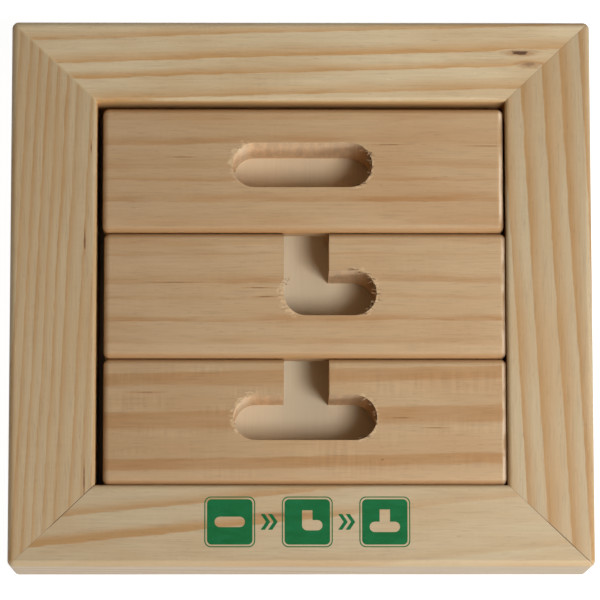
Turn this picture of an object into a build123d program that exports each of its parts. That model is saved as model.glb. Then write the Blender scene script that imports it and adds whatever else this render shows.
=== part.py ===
from build123d import *
from math import atan2, degrees
import os

# A block-in-tray brain teaser: three loose grooved pine blocks lying side by side in a mitred pine tray.
# Millimetres. The origin is the centre of the tray's underside, +X runs along the blocks, +Z is up.
# The grooves of the three blocks line up into one passage that runs from the back block to the front one.

# Tray frame
outer_x = 141.0  # overall length of the tray
outer_y = 133.2  # overall depth of the tray
frame_height = 26.0
stile_width = 20.8  # the left and right members
rail_width = 19.7  # the front and back members
corner_radius = 1.6  # the four upright outer corners
top_easing = 1.5  # outer top edge
inner_easing = 1.0  # top edge of the opening
foot_easing = 0.5  # outer bottom edge

# Bottom panel, let into a rebate flush with the underside
panel_thickness = 3.0
rebate_width = 6.0
panel_clearance = 0.2  # gap all round between the panel and its rebate

# Blocks
block_length = 97.4
block_width = 30.5
block_height = 21.8
block_easing = 1.5
front_gap = 0.15  # front block to front rail
block_gap = 0.25  # block to block

# Grooves, cut right through the blocks with one round bit
bit_diameter = 11.0
groove_reach = 11.5  # from the middle of a groove to the centre of its round end
bridge_thickness = 6.5  # wood left over each hidden tunnel

# V-nails across the mitres, driven from below
vnail_leg = 5.0
vnail_thickness = 0.5
vnail_bend = 0.8  # radius of the strip's middle line at its point
vnail_height = 10.0
vnail_setback = 0.3  # depth below the underside
vnail_places = (0.32, 0.68)  # fractions of the mitre from the outer corner to the rebate's corner

# Brads that hold the panel, driven from below
brad_head_diameter = 1.8
brad_head_thickness = 0.4
brad_shank_diameter = 1.1
brad_length = 12.0
brad_setback = 0.1
brad_spread = 27.0  # each side's two brads stand this far from its middle

# Derived sizes
opening_x = outer_x - 2 * stile_width
opening_y = outer_y - 2 * rail_width
rebate_x = opening_x + 2 * rebate_width
rebate_y = opening_y + 2 * rebate_width
front_block_y = -opening_y / 2 + front_gap + block_width / 2
middle_block_y = front_block_y + block_width + block_gap
back_block_y = middle_block_y + block_width + block_gap

os.makedirs("parts", exist_ok=True)


def save(part, name):
    """Label one finished piece and write its STEP file."""
    part.label = name
    export_step(part, f"parts/{name}.step")


# V-nails: two in each corner, each a bent steel strip that straddles the mitre with its point outwards.
with BuildPart() as mitre_v_nails:
    with BuildSketch(Plane.XY.offset(vnail_setback)):
        for side_x in (-1, 1):
            for side_y in (-1, 1):
                outward = degrees(atan2(side_y * rail_width, side_x * stile_width))
                for place in vnail_places:
                    along = place * (1 - rebate_width / stile_width)
                    point = Vector(
                        side_x * (outer_x / 2 - along * stile_width),
                        side_y * (outer_y / 2 - along * rail_width),
                    )
                    legs = [point + Vector(vnail_leg, 0).rotate(Axis.Z, outward + turn) for turn in (-135, 135)]
                    with BuildLine():
                        FilletPolyline(legs[0], point, legs[1], radius=vnail_bend)
                    trace(line_width=vnail_thickness)
    extrude(amount=vnail_height)

# Panel brads: two on each side, up through the panel's margin into the members.
brad_x = opening_x / 2 + rebate_width / 2
brad_y = opening_y / 2 + rebate_width / 2
brad_points = [(side * brad_x, spread) for side in (-1, 1) for spread in (-brad_spread, brad_spread)]
brad_points += [(spread, side * brad_y) for side in (-1, 1) for spread in (-brad_spread, brad_spread)]
with BuildPart() as panel_brads:
    with BuildSketch(Plane.XY.offset(brad_setback)):
        with Locations(brad_points):
            Circle(brad_head_diameter / 2)
    extrude(amount=brad_head_thickness)
    with BuildSketch(Plane.XY.offset(brad_setback)):
        with Locations(brad_points):
            Circle(brad_shank_diameter / 2)
    extrude(amount=brad_length)

# Bottom panel: thin plywood in the rebate, with a shallow seat in its underside for each brad's head.
with BuildPart() as base_panel:
    with BuildSketch():
        Rectangle(rebate_x - 2 * panel_clearance, rebate_y - 2 * panel_clearance)
    extrude(amount=panel_thickness)
    with BuildSketch():
        with Locations(brad_points):
            Circle(brad_head_diameter / 2)
    extrude(amount=brad_setback, mode=Mode.SUBTRACT)
    add(panel_brads.part, mode=Mode.SUBTRACT)

# The frame is shaped as one ring and then parted along its mitres into four members.
with BuildPart() as frame_ring:
    with BuildSketch():
        Rectangle(outer_x, outer_y)
    extrude(amount=frame_height)
    fillet(frame_ring.edges().filter_by(Axis.Z), corner_radius)
    fillet(frame_ring.faces().sort_by(Axis.Z)[-1].edges(), top_easing)
    chamfer(frame_ring.faces().sort_by(Axis.Z)[0].edges(), foot_easing)
    with BuildSketch():
        Rectangle(opening_x, opening_y)
    extrude(amount=frame_height, mode=Mode.SUBTRACT)
    with BuildSketch():
        Rectangle(rebate_x, rebate_y)
    extrude(amount=panel_thickness, mode=Mode.SUBTRACT)
    # Kerfs for the V-nails, open at the underside, and pilot holes for the brads
    kerfs = mitre_v_nails.faces().filter_by(Axis.Z).group_by(Axis.Z)[0]
    extrude(kerfs, amount=vnail_setback, dir=(0, 0, -1), mode=Mode.SUBTRACT)
    add(mitre_v_nails.part, mode=Mode.SUBTRACT)
    add(panel_brads.part, mode=Mode.SUBTRACT)


def make_member(name, corners):
    """Part one mitred member off the ring: it fills the outline between two outer and two inner corners."""
    with BuildPart() as member:
        add(frame_ring.part)
        with BuildSketch():
            Polygon(*corners, align=None)
        extrude(amount=frame_height, mode=Mode.INTERSECT)
        top_edges = member.faces().sort_by(Axis.Z)[-1].edges()
        fillet(top_edges.sort_by(lambda edge: Vector(edge.center().X, edge.center().Y).length)[0], inner_easing)
    save(member.part, name)


outer_corner = Vector(outer_x / 2, outer_y / 2)
inner_corner = Vector(opening_x / 2, opening_y / 2)
for side, name in ((-1, "frame_front"), (1, "frame_back")):
    make_member(
        name,
        [
            (-outer_corner.X, side * outer_corner.Y),
            (outer_corner.X, side * outer_corner.Y),
            (inner_corner.X, side * inner_corner.Y),
            (-inner_corner.X, side * inner_corner.Y),
        ],
    )
for side, name in ((-1, "frame_left"), (1, "frame_right")):
    make_member(
        name,
        [
            (side * outer_corner.X, -outer_corner.Y),
            (side * outer_corner.X, outer_corner.Y),
            (side * inner_corner.X, inner_corner.Y),
            (side * inner_corner.X, -inner_corner.Y),
        ],
    )


def make_block(name, x, y, groove_x, groove_y, left_reach, inlet, tunnel):
    """One loose block, lying on the panel with its middle at (x, y).

    Its groove runs left to right at groove_y, from left_reach left of groove_x to groove_reach right of it.
    An inlet opens the groove to the block's back face over its whole height. A tunnel opens it to the front
    face under a bridge of wood, so it can't be seen from above.
    """
    with BuildPart() as block:
        with BuildSketch(Plane.XY.offset(panel_thickness)):
            with Locations((x, y)):
                Rectangle(block_length, block_width)
        extrude(amount=block_height)
        fillet(block.edges(), block_easing)
        with BuildSketch(Plane.XY.offset(panel_thickness)):
            with Locations((groove_x + (groove_reach - left_reach) / 2, groove_y)):
                SlotCenterToCenter(left_reach + groove_reach, bit_diameter)
            if inlet:
                with Locations((groove_x, groove_y)):
                    Rectangle(bit_diameter, block_width, align=(Align.CENTER, Align.MIN))
        extrude(amount=block_height, mode=Mode.SUBTRACT)
        if tunnel:
            with BuildSketch(Plane.XY.offset(panel_thickness)):
                with Locations((groove_x, groove_y)):
                    Rectangle(bit_diameter, block_width, align=(Align.CENTER, Align.MAX))
            extrude(amount=block_height - bridge_thickness, mode=Mode.SUBTRACT)
    save(block.part, name)


# The blocks lie a little right of centre in the opening, as loose blocks do. The back one has a closed groove,
# the middle one an L, and the front one a T with its bar at the front.
make_block("block_back", 0.5, back_block_y, 0.3, back_block_y + 1.3, groove_reach, inlet=False, tunnel=True)
make_block("block_middle", 0.9, middle_block_y, 1.3, middle_block_y + 0.6, 0.0, inlet=True, tunnel=True)
make_block("block_front", 0.9, front_block_y, 1.3, front_block_y + 1.0, 12.2, inlet=True, tunnel=False)

save(base_panel.part, "base_panel")
save(mitre_v_nails.part, "mitre_v_nails")
save(panel_brads.part, "panel_brads")
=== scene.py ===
"""The looks of a block-in-tray brain teaser: three grooved pine blocks in a mitred, lacquered pine tray.

Lengths are millimetres until they reach Blender, which takes metres. The grain of every wooden piece is
worked out from where the piece lay in its log, so that the rings also run true round its edges and ends.
"""

import math
import random
from dataclasses import dataclass

import bmesh
import bpy
from mathutils import Matrix, Vector


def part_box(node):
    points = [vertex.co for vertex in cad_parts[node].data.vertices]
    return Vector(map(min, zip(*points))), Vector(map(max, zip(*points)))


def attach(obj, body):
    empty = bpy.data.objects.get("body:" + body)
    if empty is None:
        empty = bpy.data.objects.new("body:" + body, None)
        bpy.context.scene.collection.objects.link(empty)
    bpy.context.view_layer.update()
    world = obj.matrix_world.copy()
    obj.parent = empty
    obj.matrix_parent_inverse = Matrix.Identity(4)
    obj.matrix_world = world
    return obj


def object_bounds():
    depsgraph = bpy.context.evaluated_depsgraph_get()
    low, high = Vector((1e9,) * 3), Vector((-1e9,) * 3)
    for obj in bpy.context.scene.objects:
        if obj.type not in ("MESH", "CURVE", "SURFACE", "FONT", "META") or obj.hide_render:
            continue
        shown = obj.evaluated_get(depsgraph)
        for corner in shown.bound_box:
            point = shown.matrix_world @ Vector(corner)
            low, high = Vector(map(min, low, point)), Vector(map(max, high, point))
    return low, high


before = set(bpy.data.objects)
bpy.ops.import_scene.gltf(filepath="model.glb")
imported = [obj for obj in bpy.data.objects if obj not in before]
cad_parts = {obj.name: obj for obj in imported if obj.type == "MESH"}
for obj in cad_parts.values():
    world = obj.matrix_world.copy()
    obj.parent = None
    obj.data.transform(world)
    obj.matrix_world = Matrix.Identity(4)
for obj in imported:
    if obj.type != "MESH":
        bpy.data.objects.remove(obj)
cad_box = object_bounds()

MM = 0.001


def box(node):
    """Lowest and highest corner of a CAD node, in millimetres."""
    low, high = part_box(node)
    return low / MM, high / MM


tray_low, tray_high = cad_box[0] / MM, cad_box[1] / MM
opening_low = Vector((box("frame_left")[1].x, box("frame_front")[1].y))
opening_high = Vector((box("frame_right")[0].x, box("frame_back")[0].y))
stile_width = tray_high.x - opening_high.x
rail_width = tray_high.y - opening_high.y
top = tray_high.z
block_top = box("block_back")[1].z
block_easing = 1.5  # radius of a block's rounded edges

BODIES = {"block_back": "back_block", "block_middle": "middle_block", "block_front": "front_block"}

# The grooves were cut with one round bit, so every groove has this radius and round ends.
groove_radius = 5.5
groove_reach = 11.5  # from a groove's middle to the centre of its round end
front_left_reach = 12.2  # the same for the left end of the front block's groove
groove_offset = {  # from the middle of the block to the middle of its groove, to the right and to the back
    "block_back": (-0.2, 1.3),
    "block_middle": (0.4, 0.6),
    "block_front": (0.4, 1.0),
}


@dataclass
class Tear:
    """A round groove end whose edge the bit tore. Angles are from the way it faces, positive to the back."""

    reach: float  # from the groove's middle to the centre of the round end
    side: int  # 1 for an end that faces right, -1 for left
    lowest: float
    highest: float
    inner: int  # how many fibres stand into the groove
    outer: int  # how many lie out over the top face
    spread: float  # how far the torn surface reaches past the edge
    paleness: float  # how far the torn surface is paler than the wood


tears = {
    "block_back": (
        Tear(groove_reach, 1, -70, 55, 22, 6, 0.8, 0.4),
        Tear(-groove_reach, -1, -30, 70, 2, 0, 1.3, 0.6),
    ),
    "block_middle": (
        Tear(groove_reach, 1, -60, 100, 36, 8, 1.1, 0.4),
        Tear(0.0, -1, -50, 45, 2, 7, 1.8, 0.6),
    ),
    "block_front": (
        Tear(groove_reach, 1, -70, 75, 22, 5, 0.8, 0.4),
        Tear(-front_left_reach, -1, -30, 90, 4, 1, 1.1, 0.6),
    ),
}


def groove_middle(name):
    """The middle of a block's groove, as x and y."""
    low, high = box(name)
    right, back = groove_offset[name]
    return (low.x + high.x) / 2 + right, (low.y + high.y) / 2 + back


# ---------------------------------------------------------------------------------------------- node trees


class Shader:
    """One material's node tree, built with short calls. Any value may be a number, a tuple or a socket."""

    def __init__(self, name):
        self.material = bpy.data.materials.new(name)
        self.material.use_nodes = True
        self.tree = self.material.node_tree
        self.tree.nodes.clear()

    def node(self, kind, inputs=None, **settings):
        node = self.tree.nodes.new(kind)
        for key, value in settings.items():
            setattr(node, key, value)
        for key, value in (inputs or {}).items():
            if isinstance(value, bpy.types.NodeSocket):
                self.tree.links.new(value, node.inputs[key])
            else:
                node.inputs[key].default_value = value
        return node

    def math(self, operation, *values):
        return self.node("ShaderNodeMath", dict(enumerate(values)), operation=operation).outputs[0]

    def add(self, *values):
        total = values[0]
        for value in values[1:]:
            total = self.math("ADD", total, value)
        return total

    def times(self, *values):
        product = values[0]
        for value in values[1:]:
            product = self.math("MULTIPLY", product, value)
        return product

    def rest(self, value):
        """What is left of 1 when value is taken away."""
        return self.math("SUBTRACT", 1.0, value)

    def absolute(self, value):
        return self.math("ABSOLUTE", value)

    def vector(self, x, y, z):
        return self.node("ShaderNodeCombineXYZ", {0: x, 1: y, 2: z}).outputs[0]

    def length(self, x, y):
        """Length of the flat vector with these components."""
        vector = self.vector(x, y, 0.0)
        return self.node("ShaderNodeVectorMath", {0: vector}, operation="LENGTH").outputs["Value"]

    def smooth(self, value, start, end, low=0.0, high=1.0):
        """low at start and before, high at end and after, with a smooth step between."""
        inputs = {"Value": value, "From Min": start, "From Max": end, "To Min": low, "To Max": high}
        return self.node("ShaderNodeMapRange", inputs, interpolation_type="SMOOTHSTEP").outputs[0]

    def share(self, value, start, end):
        """How far value is from start to end, as 0 to 1."""
        inputs = {"Value": value, "From Min": start, "From Max": end}
        return self.node("ShaderNodeMapRange", inputs).outputs[0]

    def noise(self, place, sizes, detail=2.0, roughness=0.5, shift=0.0):
        """Noise about 0.5, whose largest features have these sizes. shift moves to another part of it."""
        x, y, z = (self.times(value, 1 / size) for value, size in zip(place, sizes))
        vector = self.vector(x, self.add(y, shift), z)
        inputs = {"Vector": vector, "Scale": 1.0, "Detail": detail, "Roughness": roughness}
        return self.node("ShaderNodeTexNoise", inputs).outputs["Fac"]

    def vary(self, noise, low, high):
        """Spreads noise out to run from low to high."""
        return self.smooth(noise, 0.3, 0.7, low, high)

    def mix(self, factor, first, second, blend="MIX"):
        inputs = {0: factor, 6: first, 7: second}
        return self.node("ShaderNodeMix", inputs, data_type="RGBA", blend_type=blend).outputs[2]

    def shade(self, colour, factor):
        """A colour made lighter or darker by a factor that may be a socket."""
        grey = self.node("ShaderNodeCombineColor", {0: factor, 1: factor, 2: factor}).outputs[0]
        return self.mix(1.0, colour, grey, "MULTIPLY")

    def position(self):
        """Object coordinates in millimetres, as three sockets."""
        place = self.node("ShaderNodeTexCoord").outputs["Object"]
        scaled = self.node("ShaderNodeVectorMath", {0: place, "Scale": 1 / MM}, operation="SCALE").outputs[0]
        return tuple(self.node("ShaderNodeSeparateXYZ", {0: scaled}).outputs)

    def normal(self):
        """The surface's direction in object space, as three sockets."""
        direction = self.node("ShaderNodeTexCoord").outputs["Normal"]
        return tuple(self.node("ShaderNodeSeparateXYZ", {0: direction}).outputs)

    def finish(self, colour, roughness, height, relief, specular=0.5, **surface):
        """Closes the tree with one Principled surface. height runs from 0 to 1 and relief is its depth."""
        bump = self.node("ShaderNodeBump", {"Strength": 1.0, "Distance": relief * MM, "Height": height})
        inputs = {"Base Color": colour, "Roughness": roughness, "Normal": bump.outputs[0]}
        inputs["Specular IOR Level"] = specular
        inputs.update(surface)
        principled = self.node("ShaderNodeBsdfPrincipled", inputs)
        self.node("ShaderNodeOutputMaterial", {"Surface": principled.outputs[0]})
        return self.material


def rgb(red, green, blue):
    return (red, green, blue, 1.0)


# ---------------------------------------------------------------------------------------------------- pine


@dataclass
class Knot:
    """A small knot, or a dark scratch, that lies along the grain."""

    along: float
    across: float
    half_length: float
    half_width: float
    darkness: float
    push: float = 0.0  # how far it pushes the rings outwards


@dataclass
class Wood:
    """How one piece lay in its log.

    rings holds, for each ring that crosses the top face, where its sharp dark edge lies across the piece at
    its middle, how dark it is and what share of the ring is dark. They run from the pith's side outwards.
    """

    along: str  # the grain's direction, "x" or "y"
    rings: tuple
    pith: float  # where the pith is, across the piece
    pith_height: float
    lean: float  # how far the rings drift across, per millimetre along
    wander: float  # how far they waver
    seed: float
    light: float = 1.0  # how pale this piece is beside the others
    warmth: float = 0.0  # how far its pale wood leans to the dark wood's colour
    fade: float = 0.95  # how much of the dark wood's width it takes to reach its full darkness
    patchy: float = 0.25  # how far the dark wood's darkness changes from place to place
    chatter: float = 0.012  # strength of the planer's cross lines
    fading: tuple = ()  # between which two places along the piece the rings fade out
    knots: tuple = ()


@dataclass
class Tone:
    """The colours and the roughness of one kind of pine."""

    early: tuple
    late: tuple
    roughness: float


LACQUERED = Tone(early=rgb(0.485, 0.374, 0.227), late=rgb(0.405, 0.228, 0.09), roughness=0.52)
BARE = Tone(early=rgb(0.455, 0.305, 0.166), late=rgb(0.37, 0.195, 0.078), roughness=0.8)
FINE_STREAKS = 0.045  # strength of the fine streaks
KNOT_HALO = rgb(0.33, 0.17, 0.07)
KNOT_HEART = rgb(0.07, 0.028, 0.014)


def knot_reach(shader, knot, along, across, scale=1.0):
    """How far a place is from a knot's middle. At scale 1 it is 1 on the knot's outline."""
    return shader.length(
        shader.times(shader.add(along, -knot.along), scale / knot.half_length),
        shader.times(shader.add(across, -knot.across), scale / knot.half_width),
    )


def log_distance(shader, wood, along, across, up):
    """Distance from the pith, with the rings' lean and waver and the knots' push."""
    coarse_waver, fine_waver = 2.0 * wood.wander, 0.9 * wood.wander
    feathering = 0.8
    coarse = shader.noise((along, across, wood.seed), (70, 24, 1), 1.0)
    fine = shader.noise((along, across, wood.seed + 3.7), (15, 5, 1))
    feather = shader.noise((along, across, wood.seed + 5.9), (5, 0.45, 1), 3.0, 0.6)
    waver = shader.add(
        shader.times(coarse, coarse_waver),
        shader.times(fine, fine_waver),
        shader.times(feather, feathering),
        -(coarse_waver + fine_waver + feathering) / 2,
    )
    from_pith = shader.add(across, -wood.pith, shader.times(along, -wood.lean), waver)
    distance = shader.length(from_pith, shader.add(up, -wood.pith_height))
    for knot in wood.knots:
        if knot.push:
            reach = knot_reach(shader, knot, along, across, 0.35)
            distance = shader.add(distance, shader.smooth(reach, 1.0, 0.0, 0.0, knot.push))
    return distance


def ring_pattern(shader, wood, along, across, up):
    """0 in the pale wood of each year, rising to the ring's darkness at its sharp outer edge."""
    rise = top - wood.pith_height
    edges = [(math.hypot(place - wood.pith, rise), dark, share) for place, dark, share in wood.rings]
    # Three more rings on either side, like the outermost ones, for the piece's other faces
    step = (edges[-1][0] - edges[0][0]) / (len(edges) - 1)
    before = [(edges[0][0] - step * count, edges[0][1], edges[0][2]) for count in (3, 2, 1)]
    after = [(edges[-1][0] + step * count, edges[-1][1], edges[-1][2]) for count in (1, 2, 3)]
    edges = before + edges + after
    first, last = edges[0][0], edges[-1][0]

    # The ramp's red counts the rings, its green is their darkness and its blue their dark share
    ramp = shader.node("ShaderNodeValToRGB")
    elements = ramp.color_ramp.elements
    while len(elements) < len(edges):
        elements.new(0.5)
    for index, (edge, dark, share) in enumerate(edges):
        elements[index].position = (edge - first) / (last - first)
        elements[index].color = rgb(index / (len(edges) - 1), dark, share)
    distance = log_distance(shader, wood, along, across, up)
    shader.tree.links.new(shader.share(distance, first, last), ramp.inputs[0])
    count, dark, share = shader.node("ShaderNodeSeparateColor", {0: ramp.outputs[0]}).outputs

    part = shader.math("FRACT", shader.times(count, len(edges) - 1))
    start = shader.rest(share)
    full = shader.rest(shader.times(share, 1 - wood.fade))
    rising = shader.math("POWER", shader.share(part, start, full), 1.25)
    falling = shader.smooth(part, 1.0, 0.93)
    patches = shader.noise((along, across, wood.seed + 9.1), (22, 4, 1))
    patches = shader.smooth(patches, 0.25, 0.75, 1 - wood.patchy, 1 + 0.7 * wood.patchy)
    dark = shader.times(rising, falling, dark, patches)
    if wood.fading:
        dark = shader.times(dark, shader.smooth(along, wood.fading[0], wood.fading[1], 1.0, 0.3))
    return dark


def pine(shader, wood, tone):
    """Colour and height of planed pine. Returns (colour, height)."""
    x, y, z = shader.position()
    along, across = (x, y) if wood.along == "x" else (y, x)
    place = (along, across, z)
    dark = ring_pattern(shader, wood, along, across, z)
    seed = wood.seed * 7.3
    colour = shader.mix(shader.add(dark, wood.warmth), tone.early, tone.late)
    colour = shader.shade(colour, wood.light)

    streaks = shader.noise(place, (16, 0.55, 0.55), 3.0, 0.6, shift=seed)
    colour = shader.shade(colour, shader.smooth(streaks, 0.25, 0.75, 1 - FINE_STREAKS, 1 + FINE_STREAKS))
    cloud = shader.noise(place, (38, 9, 9), shift=seed)
    colour = shader.mix(shader.smooth(cloud, 0.35, 0.7, 0.0, 0.34), colour, tone.late)
    dashes = shader.noise(place, (6, 0.38, 0.38), shift=seed + 17)
    colour = shader.shade(colour, shader.smooth(dashes, 0.52, 0.72, 1.0, 1 - 2.2 * FINE_STREAKS))

    # Resin canals are short dark scratches, and cut fibres are short glints
    canals = shader.smooth(shader.noise(place, (2.6, 0.22, 0.22), 1.0, shift=seed), 0.68, 0.78)
    colour = shader.shade(colour, shader.smooth(canals, 0.0, 1.0, 1.0, 0.8))
    glints = shader.noise(place, (1.1, 0.3, 0.3), 1.0, shift=seed + 40)
    colour = shader.shade(colour, shader.smooth(glints, 0.7, 0.8, 1.0, 1.14))

    # Cross lines left by the planer, in patches
    ripple = shader.noise(place, (0.9, 9, 9), 1.0, shift=seed)
    patches = shader.noise((along, across, seed + 5), (20, 5, 1), 1.0)
    ripple = shader.times(shader.vary(ripple, -1.0, 1.0), shader.smooth(patches, 0.42, 0.66))
    colour = shader.shade(colour, shader.add(1.0, shader.times(ripple, wood.chatter)))

    for knot in wood.knots:
        blur = shader.noise((along, across, seed), (1.2, 0.5, 1))
        blur = shader.smooth(blur, 0.2, 0.8, -0.35, 0.35)
        reach = shader.add(knot_reach(shader, knot, along, across), blur)
        colour = shader.mix(shader.smooth(reach, 2.6, 1.0, 0.0, 0.6), colour, KNOT_HALO)
        colour = shader.mix(shader.smooth(reach, 1.1, 0.6, 0.0, knot.darkness), colour, KNOT_HEART)

    height = shader.add(
        shader.times(streaks, 0.5),
        shader.times(dark, 0.25),
        shader.times(canals, -0.3),
        shader.times(ripple, wood.chatter),
    )
    return colour, height


# -------------------------------------------------------------------------------------------- tray members

MITRE_SHADOW = rgb(0.06, 0.035, 0.02)
MITRE_PALE_LINE = rgb(0.6, 0.45, 0.25)
WARM_WALL = rgb(0.80, 0.48, 0.19)
FRONT_EDGE_HIGHLIGHT = rgb(0.66, 0.47, 0.27)
inner_easing = 0.9  # how much of the opening's rounded edge counts as its wall


def mitre(shader, x, y):
    """(distance from the closest mitre, how far in from the side as a share of the stile)."""
    from_side = shader.math("SUBTRACT", tray_high.x, shader.absolute(x))
    from_end = shader.math("SUBTRACT", tray_high.y, shader.absolute(y))
    diagonal = math.hypot(stile_width, rail_width)
    across_stile = shader.times(from_side, rail_width / diagonal)
    across_rail = shader.times(from_end, stile_width / diagonal)
    off = shader.absolute(shader.math("SUBTRACT", across_stile, across_rail))
    return off, shader.times(from_side, 1 / stile_width)


def mitre_joints(shader, colour, height, x, y):
    """Draws the mitres' lines. Returns (colour, height)."""
    off, inward = mitre(shader, x, y)
    uneven = shader.noise((x, y, 2.0), (5, 5, 1), 1.0)
    near = shader.smooth(off, shader.vary(uneven, 0.10, 0.22), 0.04)
    front = shader.math("LESS_THAN", y, 0.0)
    right = shader.math("GREATER_THAN", x, 0.0)
    left = shader.rest(right)
    # The front mitres are open by a hair: the left one towards the opening, the right one towards the corner
    opened = shader.add(
        shader.times(front, left, shader.smooth(inward, 0.35, 0.6)),
        shader.times(front, right, shader.smooth(inward, 0.85, 0.5)),
    )
    strength = shader.add(0.22, shader.times(opened, 0.55))
    colour = shader.mix(shader.times(near, strength), colour, MITRE_SHADOW)
    # A paler line runs along the back left mitre
    pale_line = shader.times(shader.smooth(off, 0.45, 0.15), shader.rest(front), left, 0.35)
    colour = shader.mix(pale_line, colour, MITRE_PALE_LINE)
    return colour, shader.add(height, shader.times(near, opened, -2.0))


def frame_material(name, wood):
    """Lacquered pine of one member of the tray."""
    shader = Shader(name)
    colour, height = pine(shader, wood, LACQUERED)
    x, y, _ = shader.position()
    _, _, facing_up = shader.normal()
    colour, height = mitre_joints(shader, colour, height, x, y)

    # Light that has bounced about between the opening's walls and the blocks comes back warm
    inner = shader.times(
        shader.math("LESS_THAN", shader.absolute(x), opening_high.x + inner_easing),
        shader.math("LESS_THAN", shader.absolute(y), opening_high.y + inner_easing),
        shader.smooth(facing_up, 0.6, 0.2),
    )
    colour = shader.mix(shader.times(inner, 0.7), colour, WARM_WALL)
    # Painted highlight: the front edge's rounding is paler, where the front light catches it
    at_front = shader.smooth(y, tray_low.y + 1.8, tray_low.y + 1.2)
    edge = shader.times(at_front, shader.smooth(facing_up, 0.1, 0.4))
    colour = shader.mix(shader.times(edge, 0.3), colour, FRONT_EDGE_HIGHLIGHT)
    coat = {"Coat Weight": 0.06, "Coat Roughness": 0.28}
    return shader.finish(colour, LACQUERED.roughness, height, 0.02, 0.22, **coat)


# -------------------------------------------------------------------------------------------------- blocks

# The cut walls' colours: paler fresh-cut wood, made paler still as painted light, since little light reaches
# down the deep walls
CUT_ALONG = rgb(0.90, 0.65, 0.40)  # groove walls that run along the grain
CUT_ACROSS = rgb(0.46, 0.29, 0.145)  # groove walls that cross it
CUT_RIM = rgb(0.85, 0.64, 0.40)
END_GRAIN = rgb(0.34, 0.19, 0.085)
RIGHT_END_HIGHLIGHT = rgb(0.80, 0.66, 0.48)
FRONT_MARGIN_LIGHT = rgb(0.62, 0.43, 0.26)
LONG_EDGE_SHADE = rgb(0.38, 0.19, 0.068)
WARM_GAP = rgb(0.56, 0.27, 0.08)
TORN = rgb(0.62, 0.43, 0.25)
NOTCH_SHADE = rgb(0.13, 0.07, 0.033)
longest_reach = 20.0  # the grooves lie within this distance of their middle, to the left and right


def groove_walls(shader, name, place, facing, upright):
    """1 on the walls of a block's groove, channel and tunnel, and 0 on its outside."""
    x, y, _ = place
    low, high = box(name)
    middle_x, _ = groove_middle(name)
    from_middle = shader.absolute(shader.add(x, -middle_x))
    near_middle = shader.smooth(from_middle, longest_reach + 1, longest_reach - 1)
    crossing = shader.smooth(shader.absolute(facing[0]), 0.3, 0.6)
    inside = shader.times(
        shader.smooth(y, low.y + block_easing, low.y + block_easing + 0.1),
        shader.smooth(y, high.y - block_easing, high.y - block_easing - 0.1),
    )
    return shader.times(near_middle, shader.math("MAXIMUM", crossing, inside), upright)


def cut_surfaces(shader, colour, wall, fuzz, place, facing, upright):
    """The groove's walls, fuzzy from the bit and paler, partly as painted light, with painted shade where
    they face left, and the darker end grain of the block's ends.
    """
    lumps = shader.noise(place, (1.5, 1.5, 12))
    cut = shader.shade(CUT_ALONG, shader.vary(lumps, 0.9, 1.07))
    cut = shader.shade(cut, shader.vary(fuzz, 0.92, 1.06))
    # The walls that cross the grain are darker end grain, and darker still where they face left, at the
    # grooves' right ends, as painted shade
    end_grain = shader.smooth(shader.absolute(facing[0]), 0.35, 0.9)
    end_grain_and_shade = shader.times(end_grain, shader.smooth(facing[0], -0.3, 0.3, 1.0, 0.35))
    cut = shader.mix(end_grain_and_shade, cut, shader.shade(CUT_ACROSS, shader.vary(fuzz, 0.8, 1.15)))
    colour = shader.mix(shader.times(end_grain, upright, 0.3), colour, END_GRAIN)
    colour = shader.mix(shader.times(wall, 0.9), colour, cut)
    rim = shader.times(wall, shader.smooth(place[2], block_top - 0.7, block_top - 0.2))
    return shader.mix(shader.times(rim, 0.35), colour, CUT_RIM)


def edge_light_and_shade(shader, name, colour, wall, place, facing):
    """Painted light and shade along the block's outer edges, and a paler front margin on its top."""
    _, y, z = place
    facing_side, facing_back, facing_up = facing
    facing_along = shader.absolute(facing_back)
    low, _ = box(name)
    # Painted highlight, in patches, on the right ends' rounded edges, where the lights from the right catch
    # them
    highlight_patches = shader.smooth(shader.noise(place, (3, 6, 3)), 0.35, 0.6)
    rounded = shader.times(shader.smooth(facing_side, 0.15, 0.5), shader.smooth(facing_side, 0.95, 0.7))
    colour = shader.mix(shader.times(rounded, highlight_patches, 0.6), colour, RIGHT_END_HIGHLIGHT)
    # Painted light: the front margin of the top is a little paler, where the front light catches the front
    # edge
    margin = shader.times(shader.smooth(y, low.y + 4.2, low.y + 2.8), shader.smooth(facing_up, 0.8, 0.95))
    colour = shader.mix(shader.times(margin, 0.14), colour, FRONT_MARGIN_LIGHT)
    # Painted shade: the long edges are darker where their rounding turns down into the gaps between the
    # blocks
    long_edge = shader.times(shader.smooth(facing_along, 0.1, 0.5), shader.smooth(facing_up, 0.1, 0.4))
    colour = shader.mix(shader.times(long_edge, 0.55), colour, LONG_EDGE_SHADE)
    # Where they dip into the narrow gaps, the light between the blocks comes back warm
    foot = block_top - block_easing
    dip = shader.times(shader.smooth(facing_along, 0.85, 0.97), shader.smooth(z, foot - 0.2, foot + 0.2))
    return shader.mix(shader.times(dip, shader.rest(wall), 0.7), colour, WARM_GAP)


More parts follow.
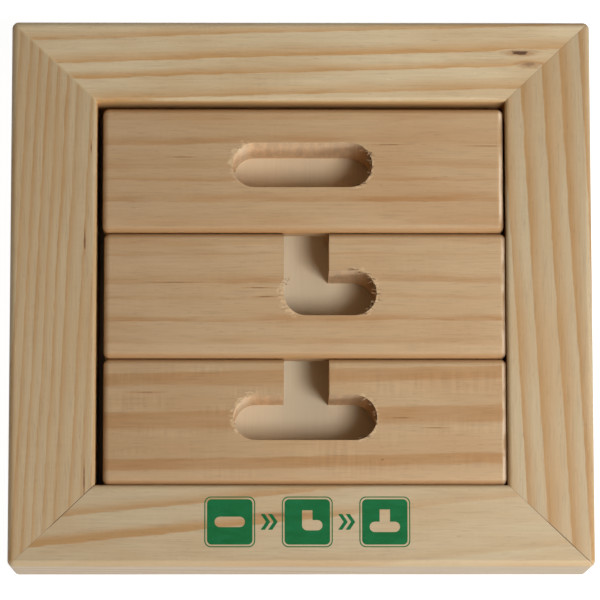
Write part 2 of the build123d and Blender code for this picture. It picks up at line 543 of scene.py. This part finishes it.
def tear_out(shader, name, colour, height, place, upright, fuzz, seed):
    """Pale torn patches at a groove's ends, with notches drawn in painted shade at its right end. Returns
    (colour, height).
    """
    x, y, _ = place
    middle_x, groove_y = groove_middle(name)
    level = shader.rest(upright)
    ragged = shader.noise((x, y, seed), (1.6, 0.8, 1), 3.0, 0.65)
    pale = shader.shade(TORN, shader.vary(fuzz, 0.75, 1.15))
    for tear in tears[name]:
        out_x = shader.times(shader.add(x, -middle_x - tear.reach), tear.side)
        out_y = shader.add(y, -groove_y)
        beyond = shader.add(shader.length(out_x, out_y), -groove_radius)
        turn = shader.math("DEGREES", shader.math("ARCTAN2", out_y, out_x))
        turned = shader.times(
            shader.smooth(turn, tear.lowest - 25, tear.lowest),
            shader.smooth(turn, tear.highest + 15, tear.highest - 10),
        )
        reach = shader.add(shader.times(beyond, 1 / tear.spread), shader.vary(ragged, -0.65, 0.55))
        torn = shader.times(shader.smooth(reach, 0.75, 0.2), turned, level, tear.paleness)
        colour = shader.mix(torn, colour, pale)
        height = shader.add(height, shader.times(torn, fuzz, 4.0))
        if tear.side > 0:
            # Slivers pulled out of the edge along the grain leave notches, drawn as painted shade on the flat
            # top
            slivers = shader.noise((x, y, seed + 30), (9, 0.6, 1), 2.0, 0.7)
            slivers = shader.smooth(slivers, 0.48, 0.7, -0.05, tear.spread)
            notch_shade = shader.smooth(shader.add(slivers, shader.times(beyond, -1.0)), 0.0, 0.12)
            colour = shader.mix(shader.times(notch_shade, turned, level, 0.8), colour, NOTCH_SHADE)
    return colour, height


def block_material(name, wood):
    """Bare pine, paler and fuzzy where the bit cut its grooves, partly as painted light, and torn at their
    ends, with painted light and shade along its edges and ends.
    """
    shader = Shader(name)
    colour, height = pine(shader, wood, BARE)
    place = shader.position()
    facing = shader.normal()
    # Painted shade: the blocks darken towards their left ends, away from the lights
    colour = shader.shade(colour, shader.smooth(place[0], -50.0, 8.0, 0.935, 1.0))
    upright = shader.smooth(shader.absolute(facing[2]), 0.7, 0.4)
    wall = groove_walls(shader, name, place, facing, upright)
    fuzz = shader.noise(place, (0.5, 0.5, 0.9), 3.0, 0.7)
    colour = cut_surfaces(shader, colour, wall, fuzz, place, facing, upright)
    colour = edge_light_and_shade(shader, name, colour, wall, place, facing)
    colour, height = tear_out(shader, name, colour, height, place, upright, fuzz, wood.seed)
    height = shader.add(height, shader.times(wall, fuzz, 1.2))
    return shader.finish(colour, BARE.roughness, height, 0.03, 0.25)


# --------------------------------------------------------------------------------------- panel and fasteners


def plywood_material():
    """Thin pale plywood with a darker core, a little browner, and darkened to the front by painted shade."""
    shader = Shader("panel_plywood_pale")
    x, y, z = shader.position()
    _, _, facing_up = shader.normal()
    grain = shader.noise((x, y, z), (0.6, 22, 0.6), 3.0, 0.6)
    cloud = shader.noise((x, y, z), (12, 40, 1))
    tan = shader.add(shader.vary(cloud, 0.0, 0.5), shader.smooth(y, 5.0, 25.0, 0.0, 0.5))
    colour = shader.mix(tan, rgb(0.60, 0.505, 0.36), rgb(0.62, 0.485, 0.32))
    colour = shader.shade(colour, shader.smooth(grain, 0.25, 0.75, 0.98, 1.02))
    # Painted shade: darker towards the front, where the front groove's walls shade its floor
    colour = shader.shade(colour, shader.smooth(y, -36.0, -12.0, 0.89, 1.0))
    # The three veneers show along the panel's edge
    low, high = box("base_panel")
    edge = shader.smooth(shader.absolute(facing_up), 0.7, 0.4)
    from_core = shader.absolute(shader.add(z, -(low.z + high.z) / 2))
    core = shader.times(edge, shader.smooth(from_core, 0.75, 0.65))
    colour = shader.mix(core, colour, rgb(0.36, 0.22, 0.12))
    return shader.finish(colour, 0.7, grain, 0.01, 0.25)


def steel_material():
    """Bright steel with fine scuffs."""
    shader = Shader("fastener_steel_bright")
    scuff = shader.noise(shader.position(), (0.3, 0.3, 3), 3.0)
    colour = shader.shade(rgb(0.62, 0.61, 0.59), shader.vary(scuff, 0.85, 1.05))
    return shader.finish(colour, shader.vary(scuff, 0.28, 0.45), scuff, 0.005, Metallic=1.0)


# ----------------------------------------------------------------------------------- how each piece is cut


def rings_from(start, direction, *rings):
    """Rings given by their distance from an edge of the tray's member."""
    return tuple((start + direction * distance, dark, share) for distance, dark, share in rings)


WOODS = {
    "frame_left": Wood(
        along="y",
        rings=rings_from(
            opening_low.x, -1, (-1.2, 0.6, 0.7), (1.2, 0.5, 0.7), (3.7, 0.75, 0.65), (7.3, 0.6, 0.6),
            (9.8, 0.7, 0.7), (12.2, 0.6, 0.65), (14.6, 0.8, 0.7), (17.0, 0.7, 0.65), (19.4, 0.6, 0.7),
        ),
        pith=opening_low.x + 60,
        pith_height=-25.0,
        lean=0.05,
        wander=0.5,
        seed=1.0,
        light=0.96,
        warmth=0.23,
        knots=(
            Knot(12.5, -52.4, 2.3, 0.16, 0.8),
            Knot(-46.2, -52.2, 3.3, 0.14, 0.7),
            Knot(35.5, -51.0, 1.0, 0.12, 0.6),
        ),
    ),
    "frame_right": Wood(
        along="y",
        rings=rings_from(
            opening_high.x, 1, (26.0, 0.8, 0.7), (21.3, 0.9, 0.75), (16.2, 1.1, 0.8), (11.7, 1.0, 0.8),
            (6.2, 0.95, 0.75), (1.7, 0.9, 0.75), (-3.0, 0.8, 0.7),
        ),
        pith=opening_high.x + 75,
        pith_height=-22.0,
        lean=-0.055,
        wander=0.5,
        seed=5.3,
        light=0.885,
        warmth=0.14,
    ),
    "frame_back": Wood(
        along="x",
        rings=rings_from(
            tray_high.y, -1, (-2.0, 0.6, 0.6), (2.8, 1.0, 0.6), (8.8, 1.2, 0.6), (12.7, 1.1, 0.65),
            (18.2, 1.0, 0.6), (22.0, 1.0, 0.6),
        ),
        pith=tray_high.y + 50,
        pith_height=-18.0,
        lean=0.03,
        wander=0.5,
        seed=8.8,
        light=1.14,
        knots=(Knot(53.4, 58.9, 2.3, 0.5, 0.9, push=1.6), Knot(55.6, 56.0, 1.7, 0.5, 0.4, push=1.1)),
    ),
    "frame_front": Wood(
        along="x",
        rings=(
            (-42.0, 0.6, 0.5), (-48.9, 0.9, 0.5), (-55.4, 1.2, 0.6), (-68.5, 0.9, 0.35), (-74.0, 0.5, 0.4),
        ),
        pith=-10.0,
        pith_height=-22.0,
        lean=0.105,
        wander=0.8,
        seed=12.4,
        light=0.91,
        warmth=0.05,
        fade=0.7,
        fading=(-5.0, 20.0),
        knots=(Knot(-5.3, -54.2, 4.5, 0.35, 0.25, push=0.5),),
    ),
    "block_back": Wood(
        along="x",
        rings=(
            (48.0, 0.4, 0.4), (42.5, 0.2, 0.6), (36.6, 0.5, 0.5), (30.6, 0.3, 0.5), (27.6, 0.45, 0.5),
            (22.3, 0.75, 0.65), (16.6, 0.35, 0.4), (12.0, 0.5, 0.5),
        ),
        pith=95.0,
        pith_height=2.0,
        lean=0.003,
        wander=1.3,
        seed=16.6,
        light=0.985,
        warmth=0.12,
        fade=0.6,
        patchy=0.8,
        knots=(
            Knot(-14.7, 34.6, 0.8, 0.22, 0.9),
            Knot(-29.0, 33.2, 2.2, 0.1, 0.4),
            Knot(21.5, 36.3, 2.6, 0.1, 0.5),
            Knot(45.0, 36.0, 3.0, 0.1, 0.4),
        ),
    ),
    "block_middle": Wood(
        along="x",
        rings=(
            (19.0, 0.3, 0.4), (12.0, 0.3, 0.5), (9.6, 0.35, 0.4), (2.6, 0.5, 0.4), (-1.2, 0.3, 0.4),
            (-6.6, 0.75, 0.5), (-12.5, 0.25, 0.4), (-18.0, 0.4, 0.4),
        ),
        pith=70.0,
        pith_height=-6.0,
        lean=-0.004,
        wander=1.2,
        seed=21.9,
        light=0.975,
        fade=0.6,
        patchy=0.85,
        knots=(
            Knot(-10.0, 1.1, 2.2, 0.11, 0.5),
            Knot(-8.6, -1.1, 1.9, 0.13, 0.5),
            Knot(-30.0, 2.4, 3.5, 0.1, 0.3),
        ),
    ),
    "block_front": Wood(
        along="x",
        rings=(
            (-49.0, 0.4, 0.4), (-39.8, 0.85, 0.42), (-28.1, 0.65, 0.48), (-19.0, 0.75, 0.4), (-8.0, 0.5, 0.4),
        ),
        pith=-105.0,
        pith_height=4.0,
        lean=0.018,
        wander=0.9,
        seed=27.1,
        light=0.94,
        warmth=0.05,
        fade=0.25,
        patchy=0.35,
        chatter=0.05,
        knots=(
            Knot(-37.5, -24.4, 2.6, 0.12, 0.35),
            Knot(24.0, -30.6, 2.2, 0.14, 0.45),
            Knot(32.5, -33.0, 1.9, 0.1, 0.35),
            Knot(19.6, -40.7, 0.3, 0.16, 0.9),
        ),
    ),
}


def give(node, material):
    """Puts one material on a CAD node, in place of those it was packed with."""
    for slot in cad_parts[node].material_slots:
        slot.link = "OBJECT"
        slot.material = material


for node_name, wood in WOODS.items():
    make_material = block_material if node_name in BODIES else frame_material
    give(node_name, make_material(node_name, wood))
give("base_panel", plywood_material())
for node_name in ("mitre_v_nails", "panel_brads"):
    give(node_name, steel_material())


# -------------------------------------------------------------------------------------------- printed mark


def ink_material():
    """Screen-printed green ink, worn through in specks."""
    shader = Shader("print_ink")
    place = shader.position()
    specks = shader.noise(place, (0.35, 0.35, 1), 3.0, 0.6)
    cloud = shader.noise(place, (6, 2, 1))
    colour = shader.mix(shader.vary(cloud, 0.0, 1.0), rgb(0.0, 0.095, 0.022), rgb(0.002, 0.115, 0.032))
    colour = shader.mix(shader.smooth(specks, 0.62, 0.78, 0.0, 0.6), colour, rgb(0.16, 0.22, 0.10))
    return shader.finish(colour, 0.6, specks, 0.01, 0.15)


def arc(centre, radius, start, end, steps=8):
    """Points on an arc from start to end degrees."""
    x, y = centre
    angles = [math.radians(start + (end - start) * step / steps) for step in range(steps + 1)]
    return [(x + radius * math.cos(angle), y + radius * math.sin(angle)) for angle in angles]


def rounded_square(size, radius):
    half = size / 2 - radius
    corners = (((half, half), 0), ((-half, half), 90), ((-half, -half), 180), ((half, -half), 270))
    return [point for corner, start in corners for point in arc(corner, radius, start, start + 90)]


def groove_outline(left, right, channel, half_width, drop=0.0):
    """A groove seen from above, shifted forwards by drop.

    It is a bar with round ends from left to right, and a channel from the bar's middle back to y = channel.
    """
    outline = arc((right, 0), half_width, -90, 90)
    if channel:
        outline += [(half_width, half_width), (half_width, channel), (-half_width, channel)]
    if left < 0:
        if channel:
            outline += [(-half_width, half_width)]
        outline += arc((left, 0), half_width, 90, 270)
    else:
        outline += arc((0, 0), half_width, 180, 270)
    return [(x, y - drop) for x, y in outline]


def film(name, outlines, centre):
    """A thin film of ink on the front rail. Outlines inside others are holes."""
    thickness = 0.02
    clearance = 0.01
    curve = bpy.data.curves.new(name, "CURVE")
    curve.dimensions = "2D"
    curve.fill_mode = "BOTH"
    curve.extrude = thickness / 2 * MM
    for outline in outlines:
        spline = curve.splines.new("POLY")
        spline.points.add(len(outline) - 1)
        for point, (x, y) in zip(spline.points, outline):
            point.co = (x * MM, y * MM, 0.0, 1.0)
        spline.use_cyclic_u = True
    source = bpy.data.objects.new(name + "_outline", curve)
    bpy.context.scene.collection.objects.link(source)
    bpy.context.view_layer.update()
    mesh = bpy.data.meshes.new_from_object(source.evaluated_get(bpy.context.evaluated_depsgraph_get()))
    bpy.data.objects.remove(source)
    height = top + clearance + thickness / 2
    mesh.transform(Matrix.Translation(Vector((centre[0], centre[1], height)) * MM))
    mesh.name = name
    return mesh


def printed_mark():
    """Three tiles that show the blocks' grooves, with chevrons between them, printed on the front rail."""
    tile = 12.2
    pitch = 18.6
    half_groove = 1.25
    half_bar = 2.4
    middle_x = 1.4
    middle_y = (tray_low.y + opening_low.y) / 2 + 0.9
    frame_line = [rounded_square(tile, 1.6), rounded_square(tile - 0.5, 1.4)]
    ground = rounded_square(tile - 1.3, 1.1)
    shapes = (
        groove_outline(-half_bar, half_bar, 0, half_groove),
        groove_outline(0, half_bar, 3.6, half_groove, drop=0.8),
        groove_outline(-half_bar, half_bar, 4.2, half_groove, drop=1.2),
    )
    meshes = []
    for place, shape in zip((-1, 0, 1), shapes):
        centre = (middle_x + place * pitch, middle_y)
        meshes.append(film("tile", frame_line + [ground, shape], centre))
    chevron = [(-0.9, 1.9), (0.1, 1.9), (1.4, 0.0), (0.1, -1.9), (-0.9, -1.9), (0.4, 0.0)]
    for place in (-0.5, 0.5):
        for shift in (-1.0, 0.8):
            centre = (middle_x + place * pitch + shift, middle_y)
            meshes.append(film("chevron", [chevron], centre))
    joined = bmesh.new()
    for mesh in meshes:
        joined.from_mesh(mesh)
        bpy.data.meshes.remove(mesh)
    result = bpy.data.meshes.new("printed_mark")
    joined.to_mesh(result)
    joined.free()
    mark = bpy.data.objects.new("printed_mark", result)
    bpy.context.scene.collection.objects.link(mark)
    mark.data.materials.append(ink_material())
    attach(mark, "tray")


printed_mark()


# --------------------------------------------------------------------------------------------- torn fibres


def fibre_material():
    shader = Shader("torn_fibre")
    mottle = shader.noise(shader.position(), (0.8, 0.3, 0.3))
    colour = shader.mix(shader.vary(mottle, 0.0, 1.0), rgb(0.17, 0.085, 0.035), rgb(0.52, 0.345, 0.18))
    return shader.finish(colour, 0.8, mottle, 0.01, 0.2)


def add_fibre(mesh, root, direction, length, width, curl):
    """One torn fibre: a three-sided spike that bends upwards by curl."""
    side = Vector((-direction.y, direction.x, 0)).normalized()
    sections = 4
    taper = 0.92
    rings = []
    for section in range(sections):
        share = section / (sections - 1)
        centre = root + direction * (length * share) + Vector((0, 0, curl * share * share))
        half = width / 2 * (1 - taper * share)
        corners = (centre + side * half, centre - side * half, centre + Vector((0, 0, half)))
        rings.append([mesh.verts.new(corner * MM) for corner in corners])
    for near, far in zip(rings, rings[1:]):
        for first in range(3):
            second = (first + 1) % 3
            mesh.faces.new((near[first], near[second], far[second], far[first]))
    mesh.faces.new(reversed(rings[0]))
    mesh.faces.new(rings[-1])


def tear_fibres(mesh, draw, tear, groove):
    """The fibres of one torn end. The first ones stand into the groove, the others lie on the top face."""
    centre = Vector((groove[0] + tear.reach, groove[1], block_top))
    for count in range(tear.inner + tear.outer):
        inwards = count < tear.inner
        angle = math.radians(draw.uniform(tear.lowest, tear.highest))
        out = Vector((tear.side * math.cos(angle), math.sin(angle), 0))
        root = centre + out * (groove_radius + 0.1)
        root.z -= draw.uniform(0.05, 2.2) if inwards else 0.03
        turn = math.radians(draw.gauss(0, 26))
        rise = draw.uniform(-0.25, 0.35) if inwards else draw.uniform(0.02, 0.18)
        way = -tear.side if inwards else tear.side
        direction = Vector((way * math.cos(turn), math.sin(turn), rise)).normalized()
        shortest, longest, usual = (0.3, 2.0, 0.5) if inwards else (0.4, 1.2 + tear.spread, 0.8)
        length = draw.triangular(shortest, longest, usual)
        width = draw.uniform(0.15, 0.55) if inwards else draw.uniform(0.08, 0.22)
        curl = draw.uniform(-0.1, 0.3)
        add_fibre(mesh, root, direction, length, width, curl)


def torn_fibres(name, body, material, seed):
    """Fibres that the bit left standing at the ends of a block's groove."""
    draw = random.Random(seed)
    mesh = bmesh.new()
    for tear in tears[name]:
        tear_fibres(mesh, draw, tear, groove_middle(name))
    bmesh.ops.recalc_face_normals(mesh, faces=mesh.faces)
    result = bpy.data.meshes.new(name + "_fibres")
    mesh.to_mesh(result)
    mesh.free()
    piece = bpy.data.objects.new(name + "_fibres", result)
    bpy.context.scene.collection.objects.link(piece)
    piece.data.materials.append(material)
    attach(piece, body)


fibre = fibre_material()
for seed, (block_name, body_name) in enumerate(BODIES.items(), start=41):
    torn_fibres(block_name, body_name, fibre, seed)


# --------------------------------------------------------------------------------- floor, lights and camera


def make_floor():
    """A plain pale floor that stays light even where the tray shades it."""
    mesh = bmesh.new()
    bmesh.ops.create_grid(mesh, x_segments=1, y_segments=1, size=2.0)
    data = bpy.data.meshes.new("floor")
    mesh.to_mesh(data)
    mesh.free()
    floor = bpy.data.objects.new("floor", data)
    floor.location.z = cad_box[0].z
    bpy.context.scene.collection.objects.link(floor)
    shader = Shader("floor_white")
    inputs = {"Base Color": rgb(0.3, 0.3, 0.3), "Roughness": 0.9, "Specular IOR Level": 0.0}
    inputs.update({"Emission Color": rgb(1, 1, 1), "Emission Strength": 0.96})
    surface = shader.node("ShaderNodeBsdfPrincipled", inputs)
    shader.node("ShaderNodeOutputMaterial", {"Surface": surface.outputs[0]})
    data.materials.append(shader.material)


def aim(obj, back, up=Vector((0, 1, 0))):
    """Points a camera's or light's view along -back, with up towards the top of its picture."""
    across = up.cross(back).normalized()
    upright = back.cross(across)
    rotation = Matrix((across, upright, back)).transposed()
    obj.matrix_world = Matrix.Translation(obj.location) @ rotation.to_4x4()


def make_light(name, azimuth, elevation, distance, size, power, colour=(1, 1, 1)):
    """A round soft light, aimed at the middle of the tray's top.

    Azimuth 0 is to the right and 90 to the back, in degrees. Distance and size are in metres, power in watts.
    """
    turn, rise = math.radians(azimuth), math.radians(elevation)
    back = Vector((math.cos(turn) * math.cos(rise), math.sin(turn) * math.cos(rise), math.sin(rise)))
    data = bpy.data.lights.new(name, "AREA")
    data.shape = "DISK"
    data.size = size
    data.energy = power
    data.color = colour
    light = bpy.data.objects.new(name, data)
    light.visible_camera = False
    light.location = back * distance + Vector((0, 0, top * MM))
    bpy.context.scene.collection.objects.link(light)
    bpy.context.view_layer.update()
    aim(light, back)


def make_camera():
    """Nearly straight above, a little towards the front, from far away."""
    tilt, turn, roll = math.radians(8.173), math.radians(-0.602), math.radians(-0.057)
    distance = 960.5
    view_width = 145.06  # what the picture's width covers at the tray's top
    target = Vector((-0.304, -2.084, top))
    back = Vector((math.sin(turn), -math.sin(tilt), 0))
    back.z = math.sqrt(1 - back.x**2 - back.y**2)
    data = bpy.data.cameras.new("camera")
    data.sensor_width = 36.0
    data.lens = data.sensor_width * distance / view_width
    data.clip_start = 0.05
    data.clip_end = 10.0
    camera = bpy.data.objects.new("camera", data)
    camera.location = (target + back * distance) * MM
    bpy.context.scene.collection.objects.link(camera)
    aim(camera, back, Vector((-math.sin(roll), math.cos(roll), 0)))
    bpy.context.scene.camera = camera


def make_world():
    """Faint warm light from all round."""
    world = bpy.data.worlds.new("studio")
    world.use_nodes = True
    background = world.node_tree.nodes["Background"]
    background.inputs["Color"].default_value = rgb(1.0, 0.98, 0.95)
    background.inputs["Strength"].default_value = 0.03
    bpy.context.scene.world = world
    bpy.context.scene.view_settings.view_transform = "Standard"


make_floor()
cool, warm = (0.92, 0.98, 1.06), (1.0, 0.88, 0.72)
make_light("key", azimuth=-41.7, elevation=68.0, distance=0.8, size=0.205, power=4.07)
make_light("fill_front", azimuth=-47.0, elevation=36.0, distance=0.8, size=0.4, power=2.3)
make_light("fill_right", azimuth=-15.0, elevation=36.0, distance=0.3, size=0.2, power=0.42, colour=cool)
make_light("overhead", azimuth=-90.0, elevation=84.0, distance=1.1, size=0.6, power=0.32, colour=warm)
make_camera()
make_world()
